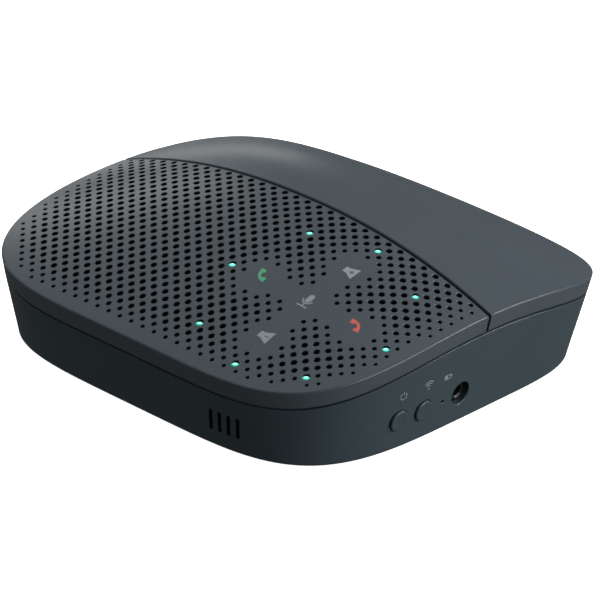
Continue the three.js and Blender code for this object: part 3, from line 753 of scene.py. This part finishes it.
def screw_boss(skin, name):
    """A stepped screw hole up through a boss; returns its mouth and the boss's outline."""
    centre = middle(name)[:2]
    head_top = node_low(name)[2] + SCREW_HEAD + CLEAR
    mouth = circle(node_radius(name) + CLEAR, BOSS_SIDES) + centre
    bore = circle(BORE_RADIUS, BOSS_SIDES) + centre
    boss = circle(BOSS_RADIUS, BOSS_SIDES) + centre
    rings = [
        skin.ring(*mouth.T, BASE_Z),
        skin.ring(*mouth.T, head_top),
        skin.ring(*bore.T, head_top),
        skin.ring(*bore.T, BOSS_TOP),
        skin.ring(*boss.T, BOSS_TOP),
        skin.ring(*boss.T, FLOOR_TOP),
    ]
    skin.tower(rings)
    return (rings[0], mouth), (rings[-1], boss)


def build_base(material):
    """The lower casing: drafted wall with its holes, rounded foot edge, floor and screw bosses."""
    skin = Skin()
    holes = wall_holes()
    wall = WallDrawing(holes)
    outer_mouths, inner_mouths = zip(*[hole.bore(skin) for hole in holes])
    outer_low, outer_high = wall.fill(skin, 0, outer_mouths)
    inner_low, inner_high = wall.fill(skin, BASE_WALL, inner_mouths)
    skin.tower([outer_high, *lip_rings(skin, wall.angles), inner_high])
    rounding = foot_edge_rows(wall.angles)
    foot_rings = [skin.ring(*row.T) for row in rounding]
    skin.tower([outer_low, *foot_rings])
    floor = plan_point(wall.angles, base_inset(wall.angles, FLOOR_TOP) + BASE_WALL)
    floor_ids = skin.ring(*floor, FLOOR_TOP)
    skin.bridge(inner_low, floor_ids)
    pockets = [foot_pocket(skin, name) for name in FEET]
    screw_mouths, bosses = zip(*[screw_boss(skin, name) for name in SCREWS])
    skin.fill(*with_holes(foot_rings[-1], rounding[-1][:, :2], [*pockets, *screw_mouths]))
    skin.fill(*with_holes(floor_ids, np.stack(floor, 1), bosses))
    skin.piece("base_casing", material, slot="base", replaces=["base_shell"])


# ---- Turned pieces ----


def turned(profile, place, axis, sides):
    """A turned solid with flat ends: profile is (radius, distance along the axis)."""
    axis = np.array(axis, float) / np.linalg.norm(axis)
    side = np.cross(axis, (0, 0, 1) if abs(axis[2]) < 0.9 else (1, 0, 0))
    side /= np.linalg.norm(side)
    other = np.cross(axis, side)
    skin = Skin()
    rings = []
    for radius, along in profile:
        spots = circle(radius, sides)
        points = place + along * axis + spots[:, :1] * side + spots[:, 1:] * other
        rings.append(skin.ring(*points.T))
    skin.solid(rings)
    return skin


def build_feet(material):
    """Rubber pads with a shallow dish in the face that stands on the table."""
    for name in FEET:
        radius, top = node_radius(name), node_high(name)[2]
        dish = [(1.2, 0.25), (3.4, 0.25), (3.7, 0.0)]
        edge = [(radius - 0.6, 0.0), (radius - 0.25, 0.1), (radius - 0.05, 0.35), (radius, 0.7)]
        profile = [*dish, *edge, (radius, top), (0.5, top)]
        skin = turned(profile, np.array([*middle(name)[:2], 0]), (0, 0, 1), 48)
        skin.piece(f"rubber_{name}", material, slot="rubber", replaces=[name])


def wall_spot(y):
    """Place and outward direction of the right wall, level with the keys."""
    return wall_frame(side_angle(y, CONTROL_Z), CONTROL_Z)[:2]


def build_button(name, y, body, material):
    """A key with a rounded edge and a softly dished face."""
    rounding = [(0.0, 0.45), (0.06, 0.22), (0.22, 0.06), (0.45, 0.0), (0.9, 0.0)]
    edge = [(BUTTON_RADIUS - inward, BUTTON_PROUD - down) for inward, down in rounding]
    dish = [(BUTTON_RADIUS * 0.5, BUTTON_PROUD - 0.12), (0.3, BUTTON_PROUD - 0.18)]
    profile = [(BUTTON_RADIUS, -4.0), *edge, *dish]
    turned(profile, *wall_spot(y), 48).piece(
        f"{name}_key", material, body, "base", [f"{name}_button"]
    )


def build_headset_socket(material):
    """A collar with a chamfered bore, in front of a wider barrel inside the wall."""
    barrel, collar, bore = 4.9, 2.9, 1.8
    outside = [(barrel, -9.6), (barrel, -2.6), (collar, -2.6), (collar, -1.5), (collar - 0.2, -1.3)]
    profile = [*outside, (bore + 0.45, -1.3), (bore, -1.75), (bore, -8.6), (0.2, -8.6)]
    turned(profile, *wall_spot(HEADSET_Y), 48).piece(
        "headset_jack", material, slot="black_part", replaces=["headset_socket"]
    )


def build_status_light(material):
    profile = [(STATUS_RADIUS, -6.0), (STATUS_RADIUS, -0.75), (0.4, -0.6), (0.1, -0.55)]
    turned(profile, *wall_spot(STATUS_Y), 20).piece(
        "status_light_pipe", material, slot="guide", replaces=["status_light_guide"]
    )


def build_light_guides(material):
    """Domed rods up through the eight wider holes of the ring."""
    radius = LIGHT_HOLE_RADIUS - GUIDE_CLEAR
    for number, (i, j) in enumerate(LIGHTS, 1):
        node = f"light_guide_{number}"
        x, y = grid_point(i, j)
        top = crown(x, y) - GUIDE_DEPTH
        dome = [(radius * 0.83, -0.2), (radius * 0.58, -0.08), (radius * 0.3, -0.02), (0.1, 0)]
        profile = [(radius, node_low(node)[2] - top), (radius, -0.3), *dome]
        turned(profile, np.array([x, y, top]), (0, 0, 1), 24).piece(
            f"ring_light_{number}", material, slot="guide", replaces=[node]
        )


# ---- Cloth, port and screws ----

CLOTH_THICK, CLOTH_INSET, CLOTH_HOLE_RADIUS = 0.3, 1.2, 1.25
MOUTH_WALL = 0.35
STAR_RADIUS, STAR_WAVE, STAR_POINTS = 1.15, 0.28, 6
SCREW_SIDES = 48


def build_cloth(material):
    """The acoustic cloth, stretched under the grille, with a hole round each light guide."""
    skin = Skin()
    half = Half(node_high("grille_cloth")[1], front=True)
    depth = TOP_WALL + 2 * CLEAR
    x, y, _ = half.loop(INNER_TOP + CLOTH_INSET, 0)
    outline = np.stack([x, y], 1)
    centres = [grid_point(i, j) for i, j in LIGHTS]
    spare = filler_points(half, step=4.0, margin=6.0, keep_off=centres)
    sheets = []
    for drop in (depth, depth + CLOTH_THICK):
        edge = skin.ring(x, y, crown(x, y) - drop)
        holes = []
        for centre in centres:
            places = circle(CLOTH_HOLE_RADIUS, 16) + centre
            holes.append((skin.ring(*places.T, crown(*places.T) - drop), places))
        crown_skin(skin, edge, outline, holes, spare, drop)
        sheets.append([edge, *[ids for ids, _ in holes]])
    for above, below in zip(*sheets):
        skin.bridge(above, below)
    made = skin.piece("stretched_cloth", material, slot="cloth", replaces=["grille_cloth"])


def build_charging_socket(material, tongue_material):
    """A rounded steel mouth, open to the rear, with a tongue inside."""
    low, high = node_low("charging_socket"), node_high("charging_socket")
    x, z = (low[0] + high[0]) / 2, (low[2] + high[2]) / 2
    width, height = high[0] - low[0], high[2] - low[2]
    outer = round_box(width, height, height / 2 - 0.1, 6)
    inner = round_box(width - 2 * MOUTH_WALL, height - 2 * MOUTH_WALL, height / 2 - 0.5, 6)
    mouth, tongue = Skin(), Skin()
    row = lambda skin, outline, y: skin.ring(x - outline[:, 0], y, z + outline[:, 1])
    levels = [(outer, low[1]), (outer, high[1] - 0.1), (outer * 0.985, high[1])]
    levels += [(inner, high[1]), (inner, low[1] + 1)]
    mouth.solid([row(mouth, *level) for level in levels])
    mouth.piece("charging_mouth", material, slot="steel", replaces=["charging_socket"])
    blade = round_box(5.2, 0.7, 0.2)
    tongue.solid([row(tongue, blade, low[1] + 1.05), row(tongue, blade, high[1] - 1.0)])
    tongue.piece("charging_tongue", tongue_material)


def build_screws(material):
    """Pan heads with a star recess, over a plain shank."""
    disc = circle(1.0, SCREW_SIDES)
    wave = np.cos(STAR_POINTS * np.arange(SCREW_SIDES) * 2 * math.pi / SCREW_SIDES)
    star = (STAR_RADIUS + STAR_WAVE * wave)[:, None] * disc
    for name in SCREWS:
        head, length = node_radius(name), node_high(name)[2] - node_low(name)[2]
        levels = [(star * 0.9, 0.9), (star, 0.0)]
        levels += [(disc * (head - 0.4), 0.0), (disc * (head - 0.1), 0.12), (disc * head, 0.4)]
        levels += [(disc * head, SCREW_HEAD), (disc * 1.1, SCREW_HEAD)]
        levels += [(disc * 1.1, length - 0.8), (disc * 0.5, length)]
        skin = Skin()
        centre, foot = middle(name)[:2], node_low(name)[2]
        skin.solid([skin.ring(*(outline + centre).T, foot + rise) for outline, rise in levels])
        skin.piece(f"star_{name}", material, slot="steel", replaces=[name])


# ---- Printed signs ----

INK, INK_ROOT = 0.04, 0.02
SIGN_Z = 20.8


class CrownPatch:
    """Puts a sign's flat drawing on the crown, round a point."""

    def __init__(self, x, y):
        self.x, self.y = x, y

    def place(self, drawing, proud):
        x, y = self.x + drawing[:, 0], self.y + drawing[:, 1]
        spots = np.stack([x, y, crown(x, y)], 1)
        return spots + proud * crown_normal(x, y)


class WallPatch:
    """Puts a sign's flat drawing on the right wall, round a point."""

    def __init__(self, y, z):
        self.place_at, self.out, self.level, self.up = wall_frame(side_angle(y, z), z)

    def place(self, drawing, proud):
        spots = self.place_at + drawing[:, :1] * self.level + drawing[:, 1:] * self.up
        angle = side_angle(spots[:, 1], spots[:, 2])
        return on_wall(angle, spots[:, 2]) + proud * self.out


def ink_patch(skin, patch, loops):
    """A thin printed area: its outline, then any cut-outs."""
    drawing = np.concatenate(loops)
    upper = skin.ring(*patch.place(drawing, INK).T)
    lower = skin.ring(*patch.place(drawing, -INK_ROOT).T)
    numbered, first = [], 0
    for loop in loops:
        numbers = list(range(first, first + len(loop)))
        skin.bridge(upper[numbers], lower[numbers])
        numbered.append(numbers)
        first += len(loop)
    skin.fill(upper, drawing, numbered)
    skin.fill(lower, drawing, numbered)


def stroke(path, width):
    """The outline of a line of the given width, or widths, along a path."""
    path = np.array(path, float)
    along = np.gradient(path, axis=0)
    along /= np.linalg.norm(along, axis=1, keepdims=True)
    side = np.stack([-along[:, 1], along[:, 0]], 1)
    half = np.broadcast_to(np.asarray(width, float) / 2, len(path))[:, None]
    return np.concatenate([path + side * half, (path - side * half)[::-1]])


def arc_path(centre, radius, start, end, steps=16):
    turn = np.radians(np.linspace(start, end, steps))
    return np.stack([np.cos(turn), np.sin(turn)], 1) * radius + centre


def line_path(start, end, steps=4):
    return np.linspace(start, end, steps)


def handset(bulge):
    """A telephone handset whose back points in the direction bulge, in degrees."""
    radius, spread = 3.6, 50
    centre = -np.array([math.cos(math.radians(bulge)), math.sin(math.radians(bulge))]) * 2.6
    share = np.linspace(-1, 1, 25)
    turn = np.radians(bulge + spread * share)
    path = np.stack([np.cos(turn), np.sin(turn)], 1) * radius + centre
    ends = np.clip((np.abs(share) - 0.5) / 0.16, 0, 1)
    ends = ends * ends * (3 - 2 * ends)
    width = 0.95 + 0.95 * ends
    inward = -(path - centre) / radius
    path = path + inward * (0.42 * ends)[:, None]
    return [[stroke(path, width)]]


def loudspeaker(rising):
    """A small box with a flared horn, with a plus or a minus cut out of it."""
    outline = [(-2.3, -1.2), (-0.9, -1.2), (2.1, -2.55), (2.1, 2.55), (-0.9, 1.2), (-2.3, 1.2)]
    arm, half = 0.75, 0.2
    if rising:
        mark = [
            (half, half), (half, arm), (-half, arm), (-half, half), (-arm, half), (-arm, -half),
            (-half, -half), (-half, -arm), (half, -arm), (half, -half), (arm, -half), (arm, half),
        ]
    else:
        mark = [(-arm, -half), (arm, -half), (arm, half), (-arm, half)]
    return [[np.array(outline), np.array(mark) + (0.55, 0)]]


def microphone_sign():
    capsule = slot_outline(1.9, 3.6, 10) + (0, 1.0)
    holder = stroke(arc_path((0, 0.5), 1.75, 190, 350), 0.45)
    stem = stroke(line_path((0, -1.5), (0, -2.5)), 0.45)
    foot = stroke(line_path((-1.9, -2.75), (1.9, -2.75), 6), 0.5)
    return [[capsule], [holder], [stem], [foot]]


def power_sign():
    ring_line = stroke(arc_path((0, 0), 1.25, 125, 415), 0.3)
    bar = stroke(line_path((0, 0.35), (0, 1.65)), 0.3)
    return [[ring_line], [bar]]


def wireless_sign():
    dot = circle(0.34, 14) + (0, -1.1)
    waves = [stroke(arc_path((0, -1.1), radius, 45, 135, 10), 0.3) for radius in (1.1, 1.9, 2.7)]
    return [[dot], *[[wave] for wave in waves]]


def battery_sign():
    case = [round_box(3.0, 1.7, 0.25), round_box(2.4, 1.1, 0.1)[::-1]]
    nub = round_box(0.3, 0.8, 0.1) + (1.75, 0)
    charge = round_box(1.1, 0.8, 0.05) - (0.55, 0)
    return [case, [nub], [charge]]


def build_sign(name, patch, shapes, material):
    skin = Skin()
    for loops in shapes:
        ink_patch(skin, patch, loops)
    skin.piece(f"sign_{name}", material)


def build_signs():
    grey = ink("ink_grey", (0.20, 0.235, 0.25))
    pale = ink("ink_pale", (0.20, 0.22, 0.23))
    green = ink("ink_green", (0.06, 0.30, 0.16))
    red = ink("ink_red", (0.46, 0.09, 0.07))
    on_grille = [
        ("answer", -19.6, 1.0, handset(222), green),
        ("end", 18.0, 1.0, handset(56), red),
        ("volume_up", 0.8, 17.8, loudspeaker(True), grey),
        ("volume_down", -0.4, -18.2, loudspeaker(False), grey),
        ("mute", -0.4, 0.2, microphone_sign(), grey),
    ]
    for name, x, y, shapes, material in on_grille:
        build_sign(name, CrownPatch(RING_X + x, RING_Y + y), shapes, material)
    on_side = [
        ("power", -32.9, power_sign()),
        ("wireless", -22.0, wireless_sign()),
        ("battery", -13.3, battery_sign()),
    ]
    for name, y, shapes in on_side:
        build_sign(name, WallPatch(y, SIGN_Z), shapes, pale)


# ---- Materials ----


# Sockets of a mix node that is set to colours.
MIX_FACTOR, MIX_DARK, MIX_LIGHT, MIX_RESULT = 0, 6, 7, 2


def set_inputs(node, values):
    for name, value in values.items():
        node.inputs[name].default_value = value


class Surface:
    """A procedural material, in each piece's own space."""

    def __init__(self, name):
        self.material = bpy.data.materials.new(name)
        self.material.use_nodes = True
        self.nodes = self.material.node_tree.nodes
        self.link = self.material.node_tree.links.new
        self.shader = self.nodes["Principled BSDF"]

    def noise(self, scale, detail=2.0):
        """Noise whose scale is in features per metre."""
        place = self.nodes.new("ShaderNodeTexCoord")
        texture = self.nodes.new("ShaderNodeTexNoise")
        set_inputs(texture, {"Scale": scale, "Detail": detail})
        self.link(place.outputs["Object"], texture.inputs["Vector"])
        return texture.outputs["Fac"]

    def colour(self, value, colour, change):
        """A base colour that gets darker and lighter with a value."""
        mix = self.nodes.new("ShaderNodeMix")
        mix.data_type = "RGBA"
        for socket, factor in ((MIX_DARK, 1 - change), (MIX_LIGHT, 1 + change)):
            mix.inputs[socket].default_value = (*[c * factor for c in colour], 1)
        self.link(value, mix.inputs[MIX_FACTOR])
        self.link(mix.outputs[MIX_RESULT], self.shader.inputs["Base Color"])

    def roughness(self, value, level, change):
        """Roughness round a level, from the middle range of a noise."""
        ramp = self.nodes.new("ShaderNodeMapRange")
        set_inputs(ramp, {"From Min": 0.3, "From Max": 0.7})
        set_inputs(ramp, {"To Min": level - change, "To Max": level + change})
        self.link(value, ramp.inputs["Value"])
        self.link(ramp.outputs["Result"], self.shader.inputs["Roughness"])

    def bump(self, value, height):
        node = self.nodes.new("ShaderNodeBump")
        set_inputs(node, {"Strength": 1.0, "Distance": height})
        self.link(value, node.inputs["Height"])
        self.link(node.outputs["Normal"], self.shader.inputs["Normal"])


def moulded(name, colour, roughness, grain=2600, height=0.000012, change=0.06, specular=0.5):
    """Moulded plastic with a fine even grain and slightly uneven colour and gloss."""
    surface = Surface(name)
    fine = surface.noise(grain)
    surface.colour(surface.noise(60, 3), colour, change)
    surface.roughness(fine, roughness, 0.05)
    surface.bump(fine, height)
    set_inputs(surface.shader, {"Specular IOR Level": specular})
    return surface.material


def metal(name, colour, roughness):
    surface = Surface(name)
    fine = surface.noise(1800, 4)
    surface.colour(fine, colour, 0.08)
    surface.roughness(fine, roughness, 0.08)
    surface.bump(fine, 0.000004)
    set_inputs(surface.shader, {"Metallic": 1.0})
    return surface.material


def ink(name, colour):
    surface = Surface(name)
    surface.colour(surface.noise(3000), colour, 0.1)
    set_inputs(surface.shader, {"Roughness": 0.5})
    return surface.material


def lit_guide(name, colour, strength):
    """A clear guide lit from below, palest in the middle of its domed end."""
    surface = Surface(name)
    facing = surface.nodes.new("ShaderNodeNewGeometry")
    upward = surface.nodes.new("ShaderNodeSeparateXYZ")
    surface.link(facing.outputs["Normal"], upward.inputs[0])
    level = surface.nodes.new("ShaderNodeMapRange")
    set_inputs(level, {"From Min": 0.9})
    surface.link(upward.outputs["Z"], level.inputs["Value"])
    ramp = surface.nodes.new("ShaderNodeValToRGB")
    stops = ramp.color_ramp.elements
    stops[0].color = (*[c * 0.25 for c in colour], 1)
    stops[1].position, stops[1].color = 0.9, (0.5, 1.0, 0.8, 1)
    stops.new(0.5).color = (*colour, 1)
    surface.link(level.outputs["Result"], ramp.inputs["Fac"])
    surface.link(ramp.outputs["Color"], surface.shader.inputs["Emission Color"])
    set_inputs(surface.shader, {"Emission Strength": strength, "Roughness": 0.25})
    set_inputs(surface.shader, {"Base Color": (*colour, 1)})
    return surface.material


def cloth(name, colour):
    """Fine acoustic weave: two crossed sets of threads."""
    surface = Surface(name)
    place = surface.nodes.new("ShaderNodeTexCoord")
    weave = surface.nodes.new("ShaderNodeMath")
    weave.operation = "MULTIPLY"
    for number, direction in enumerate(("X", "Y")):
        wave = surface.nodes.new("ShaderNodeTexWave")
        wave.bands_direction = direction
        set_inputs(wave, {"Scale": 700})
        surface.link(place.outputs["Object"], wave.inputs["Vector"])
        surface.link(wave.outputs["Fac"], weave.inputs[number])
    surface.colour(weave.outputs[0], colour, 0.5)
    surface.bump(weave.outputs[0], 0.00005)
    set_inputs(surface.shader, {"Roughness": 0.95})
    return surface.material


def slot_materials():
    """One material for each slot of the record."""
    return {
        "casing": moulded("casing_plastic", (0.050, 0.063, 0.073), 0.34, specular=0.4),
        "base": moulded("base_plastic", (0.034, 0.050, 0.058), 0.38, specular=0.35),
        "inner": moulded("inner_plastic", (0.012, 0.014, 0.016), 0.55),
        "cloth": cloth("grille_cloth", (0.002, 0.002, 0.002)),
        "rubber": moulded("rubber", (0.012, 0.012, 0.012), 0.8, 1500, 0.00002),
        "guide": lit_guide("lit_guide", (0.03, 0.42, 0.32), 1.25),
        "board": moulded("circuit_board", (0.012, 0.09, 0.04), 0.4, 700, 0.00001, 0.3),
        "black_part": moulded("black_moulding", (0.006, 0.006, 0.007), 0.4, specular=0.3),
        "steel": metal("steel", (0.56, 0.56, 0.57), 0.35),
        "magnet": metal("magnet_plating", (0.16, 0.16, 0.17), 0.5),
        "cone": moulded("cone_paper", (0.010, 0.010, 0.011), 0.85, 900, 0.00006),
        "copper": metal("copper", (0.75, 0.36, 0.17), 0.35),
        "cell_wrap": moulded("cell_wrap", (0.03, 0.14, 0.30), 0.35, 300, 0.00002),
    }


# ---- Studio ----

WHITE = (1, 1, 1, 1)
LIT_POINT = Vector((0, 0, 0.02))
FLOOR_REACH = 6.0
CAMERA_PLACE = (0.6439, -0.7444, 0.4858)
CAMERA_DOWN, CAMERA_TURN, CAMERA_ROLL = 25.56, 40.7, 3.5
LENS = 206.55


def area_light(name, place, size, power, glossy=True):
    """A rectangular light that faces the object."""
    data = bpy.data.lights.new(name, "AREA")
    data.shape = "RECTANGLE"
    data.size, data.size_y = size
    data.energy = power
    light = bpy.data.objects.new(name, data)
    bpy.context.scene.collection.objects.link(light)
    light.location = place
    light.rotation_euler = (LIT_POINT - Vector(place)).to_track_quat("-Z", "Y").to_euler()
    light.visible_glossy = glossy


def build_lights():
    scene = bpy.context.scene
    scene.view_settings.view_transform = "Standard"
    world = bpy.data.worlds.new("studio")
    scene.world = world
    world.use_nodes = True
    background = world.node_tree.nodes["Background"]
    set_inputs(background, {"Color": WHITE, "Strength": 0.07})
    area_light("overhead", (-0.45, 0.4, 0.85), (0.9, 0.9), 12, glossy=False)
    area_light("right_side", (1.1, 0.25, 0.3), (0.9, 0.5), 13.5)
    area_light("right_edge", (0.66, 0.75, 0.48), (0.15, 0.15), 5.0)
    area_light("left_edge", (-1.05, -0.25, 0.3), (0.2, 0.1), 0.7)
    area_light("left_side", (-1.0, 0.5, 0.6), (0.4, 0.3), 1.0)
    area_light("far_end", (-0.95, 0.85, 0.1), (0.4, 0.12), 0.38)
    area_light("front_fill", (-0.5, -1.0, 0.4), (0.6, 0.4), 3.0, glossy=False)


def build_floor():
    """A white ground, left out of reflections and of the light thrown on the object."""
    data = bpy.data.meshes.new("floor")
    corners = [(-1, -1, 0), (1, -1, 0), (1, 1, 0), (-1, 1, 0)]
    data.from_pydata([Vector(corner) * FLOOR_REACH for corner in corners], [], [(0, 1, 2, 3)])
    floor = bpy.data.objects.new("floor", data)
    bpy.context.scene.collection.objects.link(floor)
    surface = Surface("pale_floor")
    surface.colour(surface.noise(3), (0.9, 0.9, 0.9), 0.01)
    set_inputs(surface.shader, {"Roughness": 0.9, "Specular IOR Level": 0.1})
    set_inputs(surface.shader, {"Emission Color": WHITE, "Emission Strength": 0.97})
    data.materials.append(surface.material)
    floor.visible_glossy = False
    floor.visible_diffuse = False


def build_camera():
    data = bpy.data.cameras.new("camera")
    data.sensor_width = 36.0
    data.lens = LENS
    data.clip_start, data.clip_end = 0.05, 50
    camera = bpy.data.objects.new("camera", data)
    camera.location = CAMERA_PLACE
    level = Euler((math.radians(90 - CAMERA_DOWN), 0, math.radians(CAMERA_TURN))).to_matrix()
    roll = Matrix.Rotation(math.radians(CAMERA_ROLL), 3, "Z")
    camera.rotation_euler = (level @ roll).to_euler()
    bpy.context.scene.collection.objects.link(camera)
    bpy.context.scene.camera = camera


# ---- Assembly ----


def dress_cad_nodes(materials):
    """Every CAD node that stays gets its slot's material."""
    slots = {part["node"]: part["material_slot"] for part in frame["record"]["subparts"]}
    for name, node in frame["nodes"].items():
        node.data.materials.clear()
        node.data.materials.append(materials[slots[name]])


build_camera()
MATERIALS = slot_materials()
dress_cad_nodes(MATERIALS)
# hole_shade is painted shade: a near-black material on the grille's hole bores, where shade falls
# inside the holes.
build_grille(MATERIALS["casing"], moulded("hole_shade", (0.004, 0.005, 0.006), 0.7, specular=0.1))
build_cover(MATERIALS["casing"])
build_base(MATERIALS["base"])
build_feet(MATERIALS["rubber"])
build_button("power", POWER_Y, "power_key", MATERIALS["base"])
build_button("pairing", PAIRING_Y, "pairing_key", MATERIALS["base"])
build_headset_socket(MATERIALS["black_part"])
build_status_light(MATERIALS["black_part"])
build_cloth(MATERIALS["cloth"])
build_light_guides(MATERIALS["guide"])
build_charging_socket(MATERIALS["steel"], MATERIALS["black_part"])
build_screws(MATERIALS["steel"])
build_signs()
build_lights()
build_floor()
